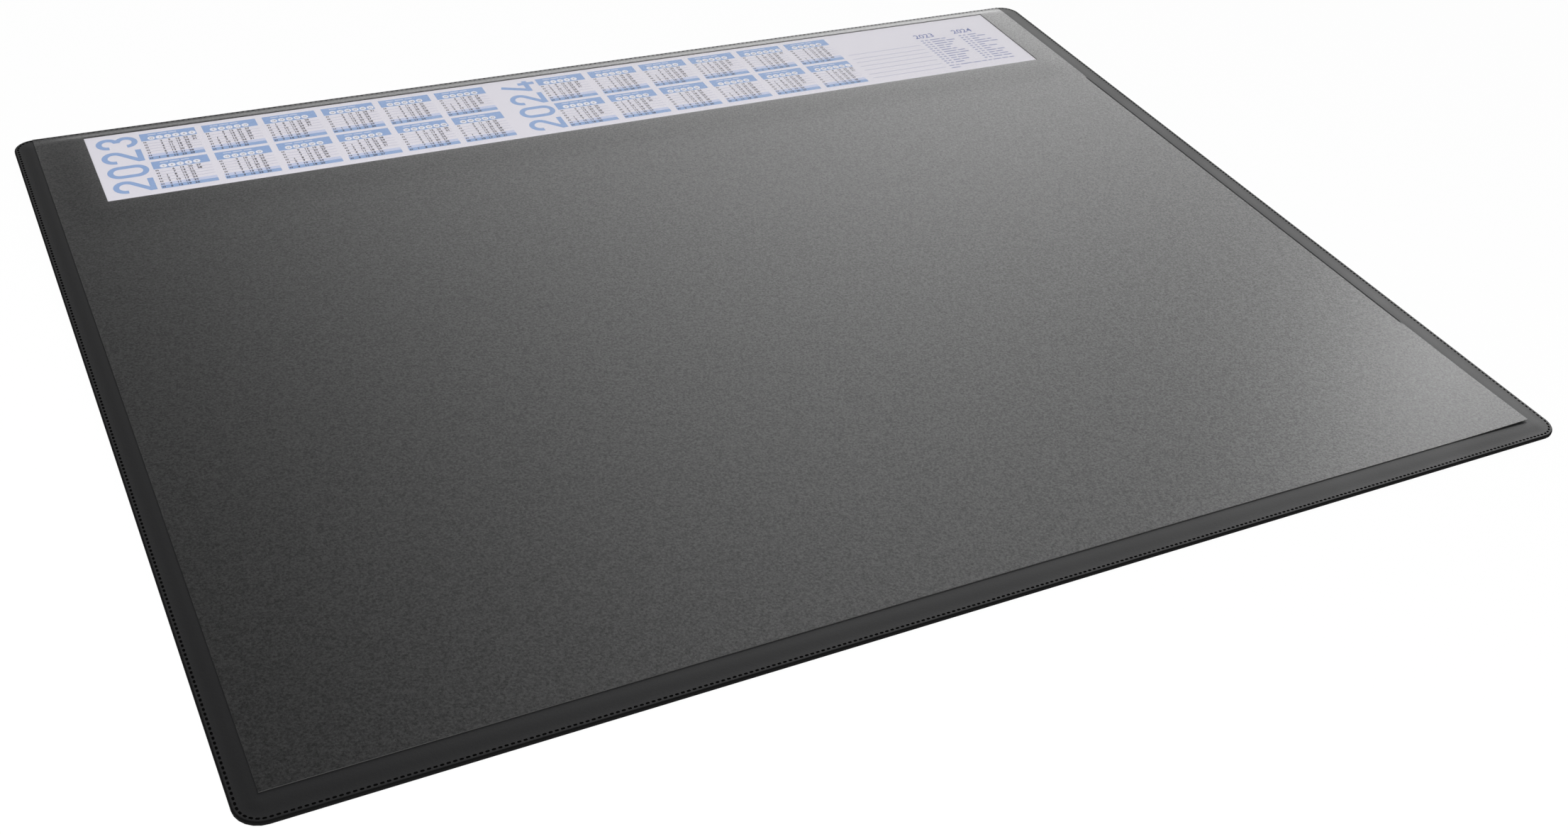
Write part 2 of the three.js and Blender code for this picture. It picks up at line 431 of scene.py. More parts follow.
def welded_film():
    """Film melted into the pressed stitches, kept from mirroring so that the dark pit shows
    through: painted shade in the pits.
    """
    material, tree, shader = new_material("welded_film_painted_pit_shade", (0.02, 0.02, 0.02), 0.6)
    shader.inputs["Alpha"].default_value = 0.35
    return material


def film_edge():
    """The film's cut edge, where the light that runs inside the sheet comes out."""
    material, tree, shader = new_material("cut_film_edge", (0.12, 0.12, 0.12), 0.4)
    shader.inputs["Alpha"].default_value = 0.7
    return material


def card_paper():
    """Pale uncoated paper with a faint fibre grain."""
    material, tree, shader = new_material("pale_card", (0.74, 0.72, 0.78), 0.7)
    place = millimetres(tree)
    fibres = noise(tree, place, 1.2, detail=4.0)
    shade = tint(tree, fibres, (0.71, 0.69, 0.75), (0.77, 0.75, 0.81))
    tree.links.new(shade, shader.inputs["Base Color"])
    tree.links.new(bump(tree, fibres, 0.02, 0.4), shader.inputs["Normal"])
    return material


INK_UNEVENNESS = 0.05


def ink(name, colour):
    """Printed ink: a flat colour that sinks a little unevenly into the card."""
    material, tree, shader = new_material(name, colour, 0.65)
    place = millimetres(tree)
    uneven = noise(tree, place, 0.7, detail=3.0)
    dark = tuple(channel * (1.0 - INK_UNEVENNESS) for channel in colour)
    light = tuple(channel * (1.0 + INK_UNEVENNESS) for channel in colour)
    tree.links.new(tint(tree, uneven, dark, light), shader.inputs["Base Color"])
    return material


# The mat's cover with its pressed seam

def rim_height(inset):
    """Height of the cover's top by inset: rounded lip, flat band, shoulder and field."""
    lip = np.sqrt(np.clip(1.0 - (1.0 - np.minimum(inset, LIP_INSET) / LIP_INSET) ** 2, 0.0, 1.0))
    shoulder = smooth(inset, SHOULDER_FOOT, SHOULDER_TOP)
    band = CUT_EDGE_TOP + (BAND_HEIGHT - CUT_EDGE_TOP) * lip
    return band + (FIELD_HEIGHT - BAND_HEIGHT) * shoulder


def stitch_tile(pitch, length, rows, cuts=()):
    """One flat length of seam with its stitch in the middle, x along the seam, y across it.

    The cuts are shares of the length where it may bend. Its faces have the slots of the cover."""
    tile = rectangle((0.0, rows[0]), (pitch, rows[-1]))
    left = (pitch - length) / 2 - STITCH_MARGIN
    edit(tile)
    for x in (left, pitch - left):
        bpy.ops.mesh.select_all(action="SELECT")
        bpy.ops.mesh.bisect(plane_co=(x, 0, 0), plane_no=(1, 0, 0))
    for y in rows[1:-1]:
        bpy.ops.mesh.select_all(action="SELECT")
        bpy.ops.mesh.bisect(plane_co=(0, y, 0), plane_no=(0, 1, 0))
    centre = Vector((pitch / 2, STITCH_INSET, 0.0))
    select_face_at(tile, centre)
    bpy.ops.mesh.inset(thickness=STITCH_MARGIN)
    mouth = STITCH_BAND - 2 * STITCH_MARGIN
    resize_selected((1.0, STITCH_WIDTH / mouth, 1.0), centre)
    bpy.ops.mesh.bevel(offset=MOUTH_ROUNDING, affect="VERTICES")
    select_face_at(tile, centre)
    depth_before, size_before = 0.0, 1.0
    for depth, size in PIT_STAGES:
        drop = (depth - depth_before) * STITCH_DEPTH
        bpy.ops.mesh.extrude_region_move(TRANSFORM_OT_translate={"value": (0, 0, -drop)})
        resize_selected((size / size_before,) * 2 + (1.0,), centre)
        depth_before, size_before = depth, size
    for share in cuts:
        bpy.ops.mesh.select_all(action="SELECT")
        bpy.ops.mesh.bisect(plane_co=(share * pitch, 0, 0), plane_no=(1, 0, 0))
    leave_edit()
    for face in tile.data.polygons:
        # The underside, the cut edge and the lip's outer part take the cut edge's darker colour,
        # painted shade
        outer = PAINTED_EDGE_SHADE if face.center.y < EDGE_SHADE_LIP else PLAIN
        # Pit faces take the pressed plastic, whose darker colour is painted shade in the pits
        face.material_index = PRESSED_PIT_SHADE if face.center.z < -PIT_START else outer
    return tile


def select_face_at(piece, centre):
    """Selects the face whose middle is nearest to a place, and nothing else."""
    leave_edit()
    for part in (piece.data.vertices, piece.data.edges, piece.data.polygons):
        part.foreach_set("select", [False] * len(part))
    nearest = min(piece.data.polygons, key=lambda face: (face.center - centre).length)
    nearest.select = True
    bpy.ops.object.mode_set(mode="EDIT")


def resize_selected(value, centre):
    bpy.ops.transform.resize(value=value, center_override=centre)


# Stretches of the rim, counter-clockwise from the front left: straight sides and corners
HALF_LENGTH = mat_high.x
HALF_WIDTH = mat_high.y
LONG_RUN = 2 * (HALF_LENGTH - CORNER_RADIUS)
SHORT_RUN = 2 * (HALF_WIDTH - CORNER_RADIUS)
CORNER_RUN = CORNER_RADIUS * math.pi / 2
STRETCHES = (
    ("front", LONG_RUN, FRONT_PITCH),
    ("corner", CORNER_RUN, SIDE_PITCH),
    ("right", SHORT_RUN, SIDE_PITCH),
    ("corner", CORNER_RUN, SIDE_PITCH),
    ("far", LONG_RUN, FAR_PITCH),
    ("corner", CORNER_RUN, SIDE_PITCH),
    ("left", SHORT_RUN, SIDE_PITCH),
    ("corner", CORNER_RUN, SIDE_PITCH),
)


def bent_round_mat(run, inset):
    """The plan place of a point by its run along the outline and its inset."""
    slack = 1e-6  # points where two stretches meet belong to both
    place = np.empty((len(run), 2))
    start = 0.0
    quarter = 0
    for name, length, _ in STRETCHES:
        here = (run >= start - slack) & (run <= start + length + slack)
        along = run[here] - start
        turn = Matrix.Rotation(quarter * math.pi / 2, 2)
        half = (HALF_LENGTH, HALF_WIDTH) if quarter % 2 == 0 else (HALF_WIDTH, HALF_LENGTH)
        if name == "corner":
            angle = along / CORNER_RADIUS - math.pi / 2
            radius = CORNER_RADIUS - inset[here]
            x = half[0] - CORNER_RADIUS + radius * np.cos(angle)
            y = -half[1] + CORNER_RADIUS + radius * np.sin(angle)
        else:
            x = along - half[0] + CORNER_RADIUS
            y = inset[here] - half[1]
        place[here, 0] = turn[0][0] * x + turn[0][1] * y
        place[here, 1] = turn[1][0] * x + turn[1][1] * y
        start += length
        if name == "corner":
            quarter += 1
    return place


def fill_loop(piece, height):
    """Closes the open loop of edges that lies at a height."""
    edit(piece, "EDGE")
    bpy.ops.mesh.select_all(action="DESELECT")
    bpy.ops.mesh.select_non_manifold(extend=False)
    leave_edit()
    points = piece.data.vertices
    for line in piece.data.edges:
        level = all(abs(points[v].co.z - height) < NEAR for v in line.vertices)
        line.select = line.select and level
    for face in piece.data.polygons:
        face.select = False
    for point in points:
        point.select = False
    for line in piece.data.edges:
        if line.select:
            for v in line.vertices:
                points[v].select = True
    bpy.ops.object.mode_set(mode="EDIT")
    bpy.ops.mesh.edge_face_add()
    leave_edit()


def make_cover():
    """The cover: seam tiles in a flat strip, bent round the mat and closed above and below.

    Across the strip, rows below 0 are the underside and the cut edge, and the others are insets."""
    lip_turns = [step / LIP_STEPS * math.pi / 2 for step in range(1, LIP_STEPS + 1)]
    lip_rows = [LIP_INSET * (1 - math.cos(turn)) for turn in lip_turns]
    under_rows = [-float(len(UNDERSIDE) - i) for i in range(len(UNDERSIDE))]
    top_rows = [0.0, *lip_rows, *BAND_ROWS, *SHOULDER_ROWS, SHOULDER_TOP, FIELD_INSET]
    rows = under_rows + top_rows
    insets = [inset for inset, _ in UNDERSIDE] + top_rows
    heights = [height for _, height in UNDERSIDE]
    heights += [float(rim_height(np.array(inset))) for inset in top_rows]
    skins = [cover_plastic(), pressed_plastic(), cut_edge()]
    tiles = {}
    runs = []
    start = 0.0
    for name, length, pitch in STRETCHES:
        # The seam is shorter than the outline in a corner
        shorter = (CORNER_RADIUS - STITCH_INSET) / CORNER_RADIUS if name == "corner" else 1.0
        count = round(length * shorter / pitch)
        key = (name == "corner", pitch)
        if key not in tiles:
            cuts = CORNER_CUTS if name == "corner" else ()
            tiles[key] = stitch_tile(length / count, STITCH_LENGTH / shorter, rows, cuts)
            wear(tiles[key], skins)
        tile = copied(tiles[key])
        step = length / count
        points = points_of(tile)
        points[:, 0] *= step / points[:, 0].max()
        set_points(tile, points)
        repeated(tile, count, (step, 0.0, 0.0))
        tile.data.transform(Matrix.Translation((start, 0.0, 0.0)))
        runs.append(tile)
        start += length
    for tile in tiles.values():
        bpy.data.objects.remove(tile)
    cover = join(runs, "mat_cover")
    points = points_of(cover)
    inset = np.interp(points[:, 1], rows, insets)
    height = np.interp(points[:, 1], rows, heights) + points[:, 2]
    place = bent_round_mat(points[:, 0], inset)
    set_points(cover, np.column_stack((place, height)))
    edit(cover, "VERT")
    bpy.ops.mesh.select_all(action="SELECT")
    bpy.ops.mesh.remove_doubles(threshold=10 * WELD)
    leave_edit()
    fill_loop(cover, FIELD_HEIGHT)
    fill_loop(cover, UNDERSIDE[0][1])
    edit(cover)
    bpy.ops.mesh.select_all(action="SELECT")
    bpy.ops.mesh.normals_make_consistent(inside=False)
    leave_edit()
    finished(cover)
    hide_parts("cover_sheet")


# The clear film

def film_underside(x, y):
    """Height of the film's underside in the far seam, over the card, on the mat and in the curl."""
    inset = HALF_WIDTH - y
    seat = rim_height(inset) + FILM_CLEARANCE
    over_card = (
        smooth(x, card_low.x - DRAPE_START - DRAPE_SIDE, card_low.x - DRAPE_START)
        * (1.0 - smooth(x, card_high.x + DRAPE_START, card_high.x + DRAPE_START + DRAPE_SIDE))
        * smooth(y, card_low.y - DRAPE_START - DRAPE_FRONT, card_low.y - DRAPE_START)
        * (1.0 - smooth(y, card_high.y + FAR_FALL_START, card_high.y + FAR_FALL_END))
    )
    lift = CARD_THICKNESS + PRINT_ROOM - FILM_CLEARANCE
    from_corner = (film_high.x - x + y - film_low.y) / CURL_REACH
    curl = CURL_HEIGHT * np.clip(1.0 - from_corner, 0.0, None) ** 2
    return seat + lift * over_card + curl


def make_film():
    """The film: seam tiles side by side, each as deep as the film, laid over card, mat and seam."""
    far_inset = HALF_WIDTH - film_high.y
    front_inset = HALF_WIDTH - film_low.y
    card_middle = HALF_WIDTH - card_high.y + CARD_MIDDLE
    drape_start = HALF_WIDTH - card_low.y + DRAPE_START
    drape_rows = [drape_start + DRAPE_FRONT * step / DRAPE_STEPS for step in range(DRAPE_STEPS + 1)]
    field_rows = [drape_rows[-1] + FIELD_STEP * step for step in range(1, FIELD_STEPS + 1)]
    curl_steps = round(CURL_REACH / CURL_STEP)
    curl_rows = [front_inset - CURL_REACH + CURL_STEP * step for step in range(curl_steps + 1)]
    rows = [far_inset, *BAND_ROWS, *SHOULDER_ROWS, SHOULDER_TOP, card_middle]
    rows += drape_rows + field_rows + curl_rows
    count = round(LONG_RUN / FAR_PITCH)
    step = LONG_RUN / count
    film = repeated(stitch_tile(step, STITCH_LENGTH, rows), count, (step, 0.0, 0.0))
    points = points_of(film)
    x = points[:, 0] - LONG_RUN / 2
    x[x > LONG_RUN / 2 - 10 * WELD] = film_high.x
    x[x < -LONG_RUN / 2 + 10 * WELD] = film_low.x
    y = HALF_WIDTH - points[:, 1]
    y -= FRONT_SWING * np.clip(x / film_high.x, 0.0, 1.0) * smooth(-y, 0.0, -film_low.y)
    set_points(film, np.column_stack((x, y, film_underside(x, y) + points[:, 2])))
    for face in film.data.polygons:
        # Film faces in the stitch pits take the welded film, which is kept from mirroring as
        # painted shade
        face.material_index = WELDED_PIT_SHADE if face.material_index == PRESSED_PIT_SHADE else CLEAR
    edit(film)
    bpy.ops.mesh.select_all(action="SELECT")
    bpy.ops.mesh.extrude_region_move(TRANSFORM_OT_translate={"value": (0, 0, FILM_THICKNESS)})
    bpy.ops.mesh.select_all(action="SELECT")
    bpy.ops.mesh.normals_make_consistent(inside=False)
    leave_edit()
    for face in film.data.polygons:
        x, y, _ = face.center
        on_side = min(x - film_low.x, film_high.x - x, y - film_low.y, film_high.y - y) < NEAR
        if on_side and abs(face.normal.z) < UPRIGHT:
            face.material_index = CUT
    film.name = "overlay_film"
    film.data.name = "overlay_film"
    wear(film, [clear_film(), film_edge(), welded_film()])
    finished(film)
    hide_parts("clear_overlay")


# Print on the card: u runs right from the card's left edge, v runs forward from its far edge.
# Fields lie lowest, then marks, then numbers, each this much over the paper.
PAPER_LEVELS = {"field": 0.03, "mark": 0.06, "number": 0.09}
DISC_SIDES = 28
DIGIT_RISE = 0.69  # height of a digit in the built-in font, as a share of its size
MARK_WIDTH = 0.55  # widths and pitches of plain marks are shares of their height
MARK_PITCH = 0.85
WORD_GAP = 1.2  # in marks


def spot(u, v, level="field"):
    return Vector((card_low.x + u, card_high.y - v, card_high.z + PAPER_LEVELS[level]))


def printed_field(u, v, width, depth, level="field"):
    low = spot(u, v + depth, level)
    high = spot(u + width, v, level)
    return rectangle(low.xy, high.xy, low.z)


def printed_disc(u, v, diameter):
    bpy.ops.mesh.primitive_circle_add(vertices=DISC_SIDES, radius=diameter / 2, fill_type="NGON")
    piece = bpy.context.object
    piece.data.transform(Matrix.Translation(spot(u, v, "mark")))
    return piece


def printed_lines(lines, u, v, height, line_step=1.0, align="CENTER", bold=0.0):
    """Numbers under each other, the first one's middle at v."""
    bpy.ops.object.text_add()
    words = bpy.context.object
    size = height / DIGIT_RISE
    words.data.body = "\n".join(lines)
    words.data.size = size
    words.data.align_x = align
    words.data.space_line = line_step / size
    words.data.resolution_u = 2
    words.data.offset = bold
    bpy.ops.object.convert(target="MESH")
    piece = bpy.context.object
    piece.data.transform(Matrix.Translation(spot(u, v + height / 2, "number")))
    return piece


def blind_words(u, v, counts, height, level="mark"):
    """Words of plain upright marks, each of so many."""
    words = []
    for count in counts:
        mark = printed_field(u, v - height / 2, height * MARK_WIDTH, height, level)
        words.append(repeated(mark, count, (height * MARK_PITCH, 0.0, 0.0)))
        u += (count + WORD_GAP) * height * MARK_PITCH
    return words


# Month blocks
BLOCK_WIDTH = 29.9
BLOCK_FAR = 3.9
SECOND_ROW = 32.7
HEADER_DEPTH = 8.4
NAME_LEFT = 4.6
NAME_LINE = 1.9
NAME_HEIGHT = 0.85
NAME_WORDS = (6, 7, 6)
DISC_LINE = 5.9
DISC_DIAMETER = 3.9
WEEK_HEIGHT = 1.4
WEEK_PITCH = 4.4
FIRST_WEEK = 5.6
WEEK_COUNTS = (5, 6)  # a block has discs for five weeks or for six
LETTER_LEFT = 0.6
LETTER_HEIGHT = 1.15
DAYS = 7
DAY_PITCH = 3.05
FIRST_DAY = 10.2
DAY_HEIGHT = 1.75
DAY_BOLD = 0.07
RULED_DAYS = 4
RULE_LEFT = 1.0
RULE_DEPTH = 0.22
SATURDAY_FAR = 24.0
SATURDAY_DEPTH = 2.8
SUNDAY_DEPTH = 3.3
YEARS = {2023: (28.3, 33.7), 2024: (260.2, 34.0)}  # first block's left edge, pitch of the blocks


def weeks_of(year, month):
    """The month's weeks: each one's number and its seven dates, Monday first, blank outside it."""
    day = datetime.date(year, month, 1)
    weeks = {}
    while day.month == month:
        number = day.isocalendar()[1]
        weeks.setdefault(number, [""] * DAYS)[day.weekday()] = str(day.day)
        day += datetime.timedelta(days=1)
    return weeks


def month_block(week_count):
    """What every month of so many weeks shares, at the card's far left corner, by ink."""
    discs = [
        printed_disc(FIRST_WEEK + WEEK_PITCH * week, DISC_LINE, DISC_DIAMETER)
        for week in range(week_count)
    ]
    names = blind_words(NAME_LEFT, NAME_LINE, NAME_WORDS, NAME_HEIGHT)
    day_lines = [FIRST_DAY + DAY_PITCH * day for day in range(DAYS)]
    rules = [
        printed_field(RULE_LEFT, line + DAY_PITCH / 2, BLOCK_WIDTH - RULE_LEFT, RULE_DEPTH)
        for line in day_lines[:RULED_DAYS]
    ]
    letters = []
    for line in day_lines:
        letters += blind_words(LETTER_LEFT, line, (2,), LETTER_HEIGHT, "number")
    return {
        "blue": [printed_field(0.0, 0.0, BLOCK_WIDTH, HEADER_DEPTH)],
        "saturday": [printed_field(0.0, SATURDAY_FAR, BLOCK_WIDTH, SATURDAY_DEPTH)],
        "sunday": [printed_field(0.0, SATURDAY_FAR + SATURDAY_DEPTH, BLOCK_WIDTH, SUNDAY_DEPTH)],
        "white": discs + names,
        "rule": rules,
        "dark": letters,
    }


def make_months(inks):
    blocks = {}
    for count in WEEK_COUNTS:
        parts = month_block(count)
        blocks[count] = {colour: join(pieces, colour) for colour, pieces in parts.items()}
    for year, (first, pitch) in YEARS.items():
        for month in range(1, 13):
            column, row = divmod(month - 1, 2)
            u = first + pitch * column
            v = BLOCK_FAR + SECOND_ROW * row
            weeks = weeks_of(year, month)
            block = blocks[max(min(WEEK_COUNTS), len(weeks))]
            for colour, piece in block.items():
                inks[colour].append(copied(piece, (u, -v, 0.0)))
            for index, (number, dates) in enumerate(weeks.items()):
                middle = u + FIRST_WEEK + WEEK_PITCH * index
                week = printed_lines([str(number)], middle, v + DISC_LINE, WEEK_HEIGHT)
                far = v + FIRST_DAY
                days = printed_lines(dates, middle, far, DAY_HEIGHT, DAY_PITCH, bold=DAY_BOLD)
                inks["dark"] += [week, days]
    for block in blocks.values():
        for piece in block.values():
            bpy.data.objects.remove(piece)


# Large year numerals: each is drawn with a flat pen of one width
PEN_WIDTH = 3.1
NUMERAL_WIDTH = 13.2
NUMERAL_HEIGHT = 21.5
NUMERAL_PITCH = 16.4
NUMERAL_LEFT = {2023: 4.7, 2024: 236.8}
NUMERALS_FRONT = 66.4
STROKE_STEP = 0.006  # each stroke of a numeral lies this much over the last one
BEND_STEP = 10  # degrees


def pen_stroke(start, heading, moves):
    """A ribbon from a start point: runs are lengths, bends are (radius, degrees), left positive."""
    direction = math.radians(heading)
    side = Vector((-math.sin(direction), math.cos(direction), 0.0)) * PEN_WIDTH / 2
    place = Vector((*start, 0.0))
    ribbon = bpy.data.meshes.new("stroke")
    ribbon.from_pydata([place - side, place + side], [(0, 1)], [])
    stroke = bpy.data.objects.new("stroke", ribbon)
    bpy.context.scene.collection.objects.link(stroke)
    edit(stroke, "EDGE")
    bpy.ops.mesh.select_all(action="SELECT")
    for move in moves:
        forward = Vector((math.cos(direction), math.sin(direction), 0.0))
        if isinstance(move, tuple):
            radius, degrees = move
            turn = math.radians(degrees)
            left = Vector((-forward.y, forward.x, 0.0)) * math.copysign(radius, degrees)
            centre = place + left
            steps = max(2, round(abs(degrees) / BEND_STEP))
            bpy.ops.mesh.spin(steps=steps, angle=-turn, center=centre, axis=(0, 0, 1))
            place = centre + Matrix.Rotation(turn, 3, "Z") @ (place - centre)
            direction += turn
        else:
            bpy.ops.mesh.extrude_region_move(TRANSFORM_OT_translate={"value": forward * move})
            place = place + forward * move
    leave_edit()
    return stroke


def numeral(digit):
    """One numeral, upright, its lower left corner at the origin."""
    half = PEN_WIDTH / 2
    radius = (NUMERAL_WIDTH - PEN_WIDTH) / 2
    middle = NUMERAL_WIDTH / 2
    top = NUMERAL_HEIGHT - half
    if digit == 0:
        run = NUMERAL_HEIGHT - PEN_WIDTH - 2 * radius
        moves = [run, (radius, 180), run, (radius, 180)]
        return [pen_stroke((NUMERAL_WIDTH - half, half + radius), 90, moves)]
    if digit == 2:
        bow_end = -38.0
        tail = 0.6
        foot = Vector((half * 1.15, PEN_WIDTH))
        centre = Vector((middle, top - radius))
        angle = math.radians(bow_end)
        end = centre + radius * Vector((math.cos(angle), math.sin(angle)))
        slope = math.degrees(math.atan2(foot.y - end.y, foot.x - end.x))
        start = (middle - radius, centre.y - tail)
        bow = pen_stroke(start, 90, [tail, (radius, -180 + bow_end)])
        leg = pen_stroke(end, slope, [(foot - end).length + half])
        base = pen_stroke((0.0, half), 0, [NUMERAL_WIDTH])
        return [bow, leg, base]
    if digit == 3:
        bowl = (top - half) / 4
        tail = 0.2
        sweep = 265
        high = pen_stroke((middle - bowl, top - bowl), 90, [tail, (bowl, -sweep)])
        low = pen_stroke((middle - bowl, half + bowl), -90, [tail, (bowl, sweep)])
        return [high, low]
    stem = 10.2
    stem_place = NUMERAL_WIDTH * 0.74
    bar = 5.4
    top_point = Vector((8.0, NUMERAL_HEIGHT - 0.4))
    low_point = Vector((half, bar))
    slope = math.degrees(math.atan2(low_point.y - top_point.y, low_point.x - top_point.x))
    leg = pen_stroke(top_point, slope, [(low_point - top_point).length])
    cross = pen_stroke((0.0, bar), 0, [NUMERAL_WIDTH])
    post = pen_stroke((stem_place, 0.0), 90, [stem])
    return [leg, cross, post]


def stacked(strokes):
    """Joins strokes that cross, each a little over the last, so that none lies in another."""
    for level, stroke in enumerate(strokes):
        stroke.data.transform(Matrix.Translation((0.0, 0.0, STROKE_STEP * level)))
    return join(strokes, "numeral")


def make_years(inks):
    shapes = {digit: stacked(numeral(digit)) for digit in (0, 2, 3, 4)}
    quarter = Matrix.Rotation(math.pi / 2, 4, "Z")
    for year, left in NUMERAL_LEFT.items():
        for index, digit in enumerate(str(year)):
            piece = copied(shapes[int(digit)])
            corner = spot(left + NUMERAL_HEIGHT, NUMERALS_FRONT - NUMERAL_PITCH * index)
            piece.data.transform(Matrix.Translation(corner) @ quarter)
            inks["blue"].append(piece)
    for shape in shapes.values():
        bpy.data.objects.remove(shape)


# Notes area and the two lists at the right
NOTE_LEFT = 465.0
NOTE_WIDTH = 54.0
NOTE_DEPTH = 0.4
NOTE_LINES = (30.0, 36.0, 41.0, 46.5, 52.0, 58.0, 63.3)
LIST_LEFT = {2023: 520.7, 2024: 550.1}
TITLE_LINE = 18.8
TITLE_HEIGHT = 5.2
TITLE_BOLD = 0.06
LIST_FAR = 25.1
LIST_PITCH = 3.06
LIST_ROWS = 12
LIST_MARK = 1.25
DATE_LEFT = 1.8  # from the list's left edge
ENTRY_LEFT = 9.0
FIRST_WORD = (4, 9)  # fewest and most marks
SECOND_WORD = (0, 0, 3, 5, 6)  # one of these
FOOTNOTES = ((522.5, 62.6, (4, 3, 9, 6, 4, 3, 6, 5, 4)), (522.5, 65.7, (7,)))
FOOTNOTE_MARK = 1.1


def make_lists(inks):
    for line in NOTE_LINES:
        inks["rule"].append(printed_field(NOTE_LEFT, line, NOTE_WIDTH, NOTE_DEPTH))
    lengths = random.Random(12)
    for year, left in LIST_LEFT.items():
        digits = [str(year)]
        title = printed_lines(digits, left, TITLE_LINE, TITLE_HEIGHT, align="LEFT", bold=TITLE_BOLD)
        inks["list"].append(title)
        for row in range(LIST_ROWS):
            v = LIST_FAR + LIST_PITCH * row
            inks["list"] += blind_words(left + DATE_LEFT, v, (2, 2), LIST_MARK)
            first = lengths.randint(*FIRST_WORD)
            second = lengths.choice(SECOND_WORD)
            words = (first, second) if second else (first,)
            inks["list"] += blind_words(left + ENTRY_LEFT, v, words, LIST_MARK)
    for u, v, words in FOOTNOTES:
        inks["list"] += blind_words(u, v, words, FOOTNOTE_MARK)


INK_COLOURS = {
    "blue": (0.27, 0.39, 0.64),
    "saturday": (0.55, 0.59, 0.76),
    "sunday": (0.28, 0.40, 0.64),
    "white": (0.78, 0.78, 0.84),
    "rule": (0.36, 0.37, 0.52),
    "dark": (0.05, 0.045, 0.06),
    "list": (0.13, 0.17, 0.40),
}


def make_print():
    inks = {colour: [] for colour in INK_COLOURS}
    make_months(inks)
    make_years(inks)
    make_lists(inks)
    for colour, pieces in inks.items():
        layer = join(pieces, f"print_{colour}")
        wear(layer, [ink(f"{colour}_ink", INK_COLOURS[colour])])
        finished(layer)


# Studio: white floor, soft lamps and the camera
FLOOR_RADIUS = 40.0  # metres
FLOOR_DROP = 0.2  # keeps the floor off the mat's underside
FLOOR_WHITE = 0.93  # how much of what is seen of the floor is plain white
HORIZON_FOOT = 0.03  # the pale horizon gives way between these two rises
HORIZON_TOP = 0.12
HORIZON_GLOW = 0.9


def show_as_white(tree, surface, white_share):
    """A surface that camera, mirror and clear rays see nearly white, and that keeps its shadows."""
    path = tree.nodes.new("ShaderNodeLightPath")
    seen = path.outputs["Is Camera Ray"]
    for other in ("Is Glossy Ray", "Is Transmission Ray"):
        either = tree.nodes.new("ShaderNodeMath")
        either.operation = "MAXIMUM"
        tree.links.new(seen, either.inputs[0])
        tree.links.new(path.outputs[other], either.inputs[1])
        seen = either.outputs["Value"]
    white = tree.nodes.new("ShaderNodeEmission")
    mix = tree.nodes.new("ShaderNodeMixShader")
    tree.links.new(times(tree, seen, white_share), mix.inputs["Fac"])
    tree.links.new(surface, mix.inputs[1])
    tree.links.new(white.outputs["Emission"], mix.inputs[2])
    return mix.outputs["Shader"]


def make_floor():
    bpy.ops.mesh.primitive_circle_add(vertices=64, radius=FLOOR_RADIUS, fill_type="NGON")
    floor = bpy.context.object
    floor.name = "floor"
    floor.data.transform(Matrix.Translation((0.0, 0.0, -FLOOR_DROP * MM)))
    material, tree, shader = new_material("white_floor", (0.9, 0.9, 0.9), 0.9)
    output = tree.nodes["Material Output"]
    surface = show_as_white(tree, shader.outputs["BSDF"], FLOOR_WHITE)
    tree.links.new(surface, output.inputs["Surface"])
    floor.data.materials.append(material)


def soft_lamp(name, place, aim, size, power):
    light = bpy.data.lights.new(name, "AREA")
    light.shape = "RECTANGLE"
    light.size, light.size_y = size
    light.energy = power
    lamp = bpy.data.objects.new(name, light)
    lamp.location = place
    lamp.rotation_euler = (Vector(aim) - Vector(place)).to_track_quat("-Z", "Y").to_euler()
    lamp.visible_camera = False
    bpy.context.scene.collection.objects.link(lamp)
    return lamp


def make_lights():
    """A large soft key behind the camera, and a small lamp mirrored near the front right corner.

    The key is kept out of mirrors, so the film doesn't glare from the other side."""
    key = soft_lamp("key", (-1.2, -1.6, 1.9), (0.0, 0.0, 0.0), (1.4, 1.4), 94.0)
    key.visible_glossy = False
    soft_lamp("right_spot", (1.2, 0.45, 0.68), (0.3, -0.2, 0.0), (0.12, 0.12), 0.8)


def direction_of(turn, rise):
    """The direction at a turn from the long side and a rise over the desk."""
    return Euler((0.0, -rise, turn)).to_matrix().col[0]


def glow_around(tree, place, direction, radius, rim, centre):
    """A value that changes with the angle from a direction, level beyond the radius."""
    towards = tree.nodes.new("ShaderNodeVectorMath")
    towards.operation = "DOT_PRODUCT"
    towards.inputs[1].default_value = direction
    tree.links.new(place, towards.inputs[0])
    glow = tree.nodes.new("ShaderNodeMapRange")
    glow.inputs["From Min"].default_value = math.cos(radius)
    glow.inputs["To Min"].default_value = rim
    glow.inputs["To Max"].default_value = centre
    tree.links.new(towards.outputs["Value"], glow.inputs["Value"])
    return glow.outputs["Result"]


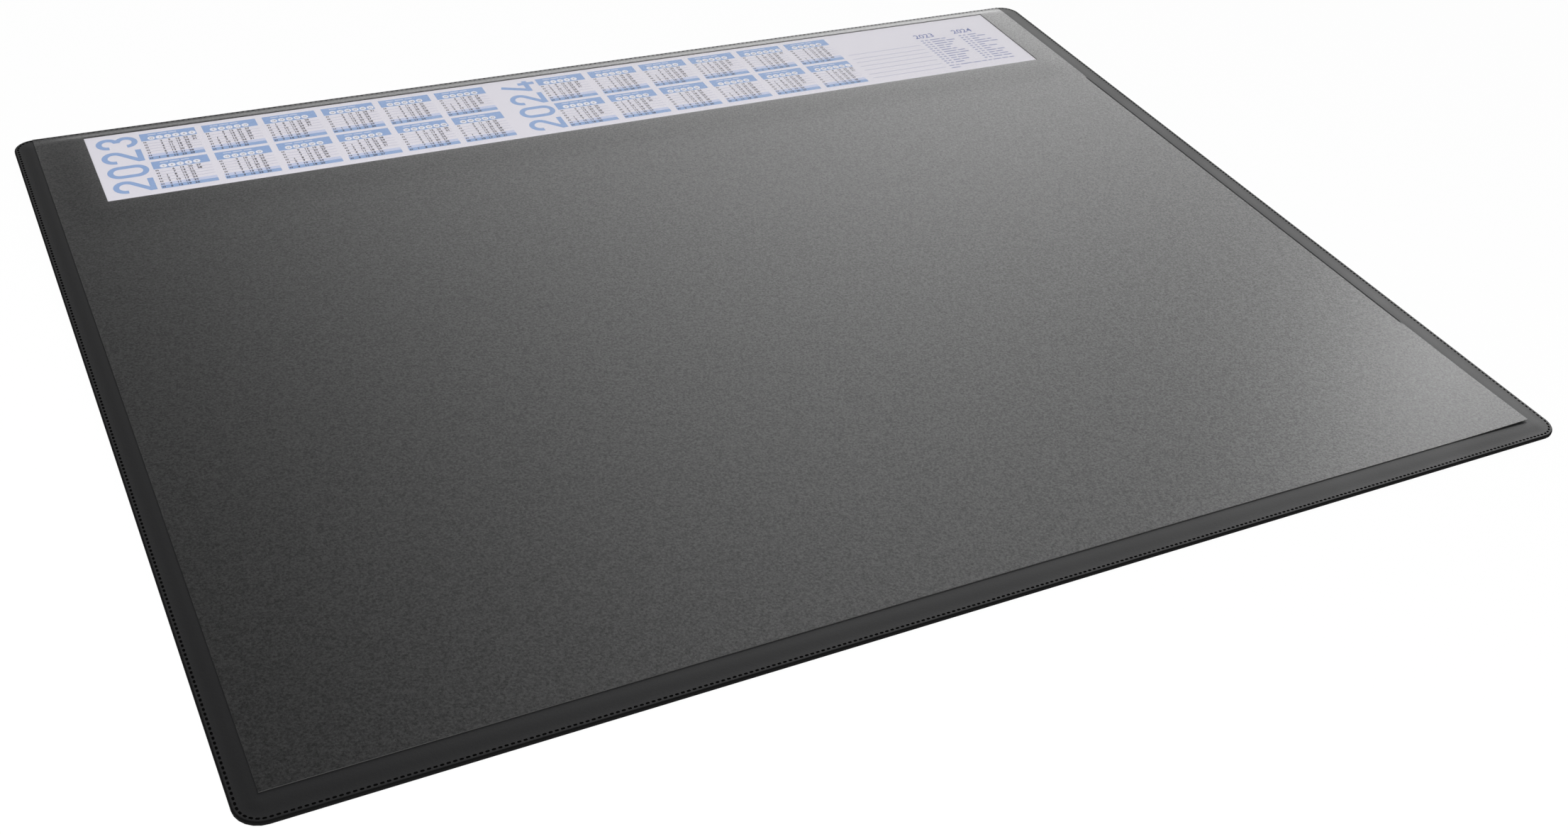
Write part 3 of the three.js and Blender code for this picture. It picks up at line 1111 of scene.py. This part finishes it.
def make_world():
    """A soft window glow low at the right back, dim elsewhere, and pale along the horizon."""
    world = bpy.data.worlds.new("studio")
    bpy.context.scene.world = world
    world.use_nodes = True
    tree = world.node_tree
    sight = tree.nodes.new("ShaderNodeTexCoord").outputs["Generated"]
    window_place = direction_of(WINDOW_TURN, WINDOW_RISE)
    window = glow_around(tree, sight, window_place, WINDOW_SPREAD, WINDOW_DIM, WINDOW_GLOW)
    bar_place = direction_of(WINDOW_BAR_TURN, WINDOW_BAR_RISE)
    bar = glow_around(tree, sight, bar_place, WINDOW_BAR_SPREAD, 1.0, WINDOW_BAR_LEFT)
    glow = times(tree, window, bar)
    split = tree.nodes.new("ShaderNodeSeparateXYZ")
    tree.links.new(sight, split.inputs["Vector"])
    ease = tree.nodes.new("ShaderNodeMapRange")
    ease.interpolation_type = "SMOOTHSTEP"
    ease.inputs["From Min"].default_value = HORIZON_FOOT
    ease.inputs["From Max"].default_value = HORIZON_TOP
    tree.links.new(split.outputs["Z"], ease.inputs["Value"])
    strength = blend(tree, ease.outputs["Result"], HORIZON_GLOW, glow)
    background = tree.nodes["Background"]
    background.inputs["Color"].default_value = (1.0, 1.0, 1.0, 1.0)
    tree.links.new(strength, background.inputs["Strength"])


# Camera, as solved from the mat's four straight edges
CAMERA_PLACE = (-377.50, -701.50, 509.91)
CAMERA_TURN = (53.1836, -5.3332, -27.5188)
CAMERA_LENS = 41.3008
CAMERA_SHIFT = -0.02454


def make_camera():
    view = bpy.data.cameras.new("camera")
    view.sensor_width = 36.0
    view.lens = CAMERA_LENS
    view.shift_x = CAMERA_SHIFT
    view.clip_start = 0.01
    camera = bpy.data.objects.new("camera", view)
    camera.location = Vector(CAMERA_PLACE) * MM
    camera.rotation_euler = Euler([math.radians(angle) for angle in CAMERA_TURN], "XYZ")
    bpy.context.scene.collection.objects.link(camera)
    bpy.context.scene.camera = camera


def dress_kept_solids():
    for node, material in (("foam_base", foam_rubber()), ("calendar_card", card_paper())):
        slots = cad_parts[node].data.materials
        slots.clear()
        slots.append(material)


make_camera()
dress_kept_solids()
make_print()
make_film()
make_cover()
make_floor()
make_lights()
make_world()
bpy.context.scene.view_settings.view_transform = "Standard"

deselect()
